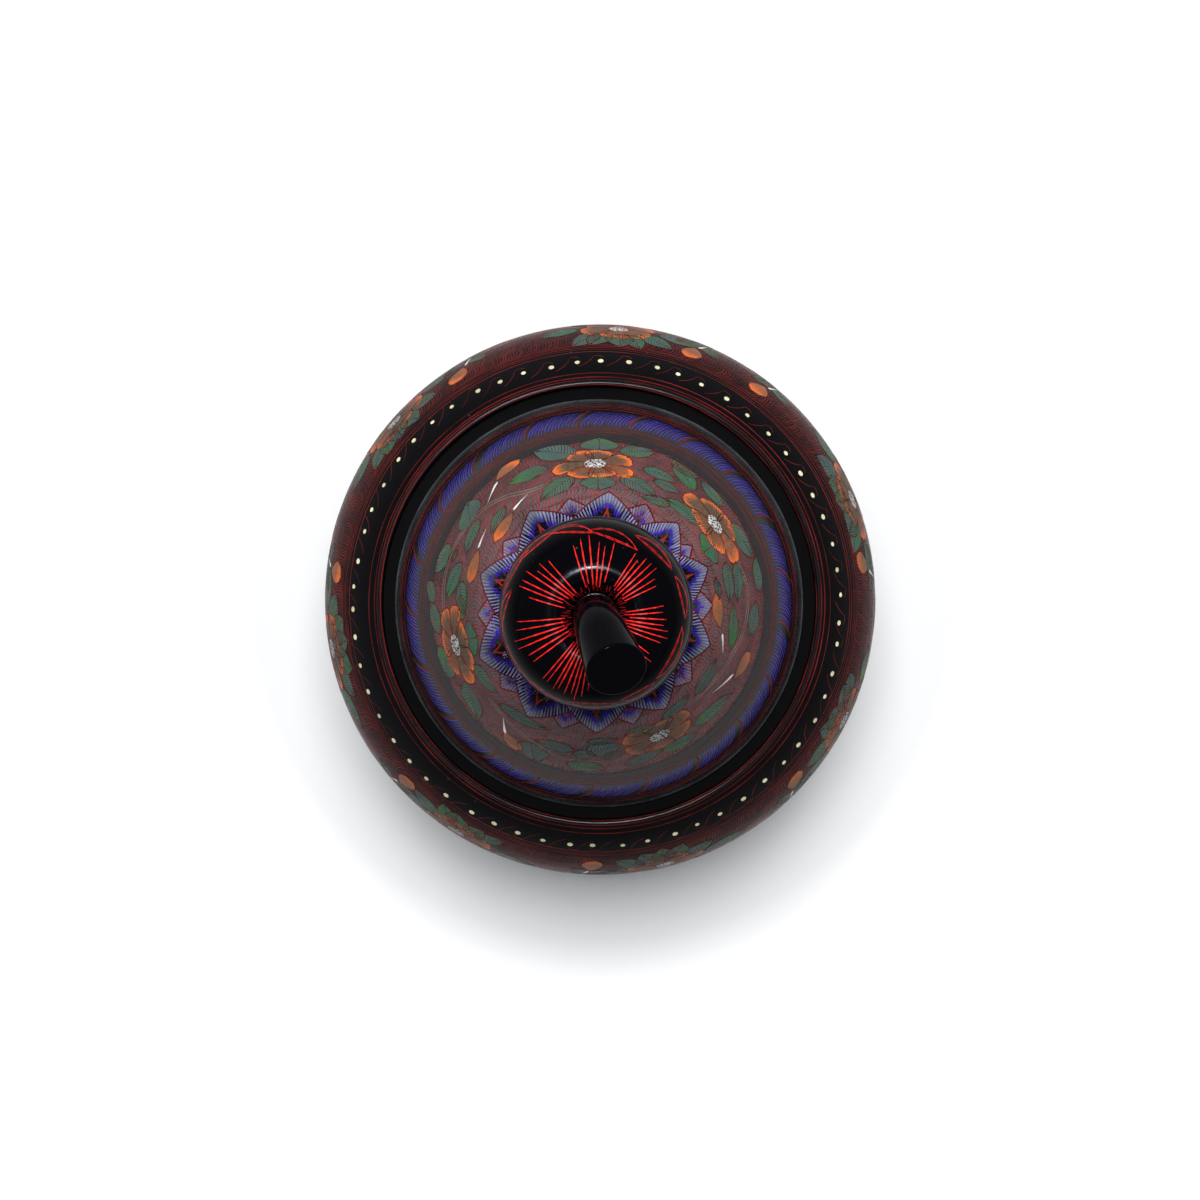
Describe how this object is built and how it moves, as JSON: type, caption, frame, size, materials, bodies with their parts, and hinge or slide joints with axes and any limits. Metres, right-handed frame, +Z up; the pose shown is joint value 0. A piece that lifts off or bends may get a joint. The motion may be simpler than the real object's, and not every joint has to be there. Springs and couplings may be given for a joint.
{
  "type": "lacquer box",
  "caption": "Round turned wooden box in dark lacquer with scratched floral ornament, a domed lift-off lid, a ball knob and a curved stalk, for keeping small things.",
  "frame": {"origin": "centre of the foot, on the surface that the box stands on", "axes": "+Z up along the turning axis; the stalk leans towards +X and -Y, 66 degrees below +X"},
  "size_m": [0.15, 0.15, 0.22],
  "materials": {
    "box_lacquer": "gloss black lacquer with scratched red, green and orange ornament",
    "lid_lacquer": "gloss black lacquer with scratched flowers, leaves and lotus petals",
    "knob_lacquer": "gloss black lacquer with red scratched strokes",
    "stalk_lacquer": "plain gloss black lacquer"
  },
  "bodies": {
    "box": {"body": "box_lacquer"},
    "lid": {"lid": "lid_lacquer", "knob": "knob_lacquer", "stalk": "stalk_lacquer"}
  },
  "joints": [
    {"name": "lid_lift", "type": "slide", "parent": "box", "child": "lid", "axis": [0, 0, 1], "range_m": [0, 0.09]}
  ]
}
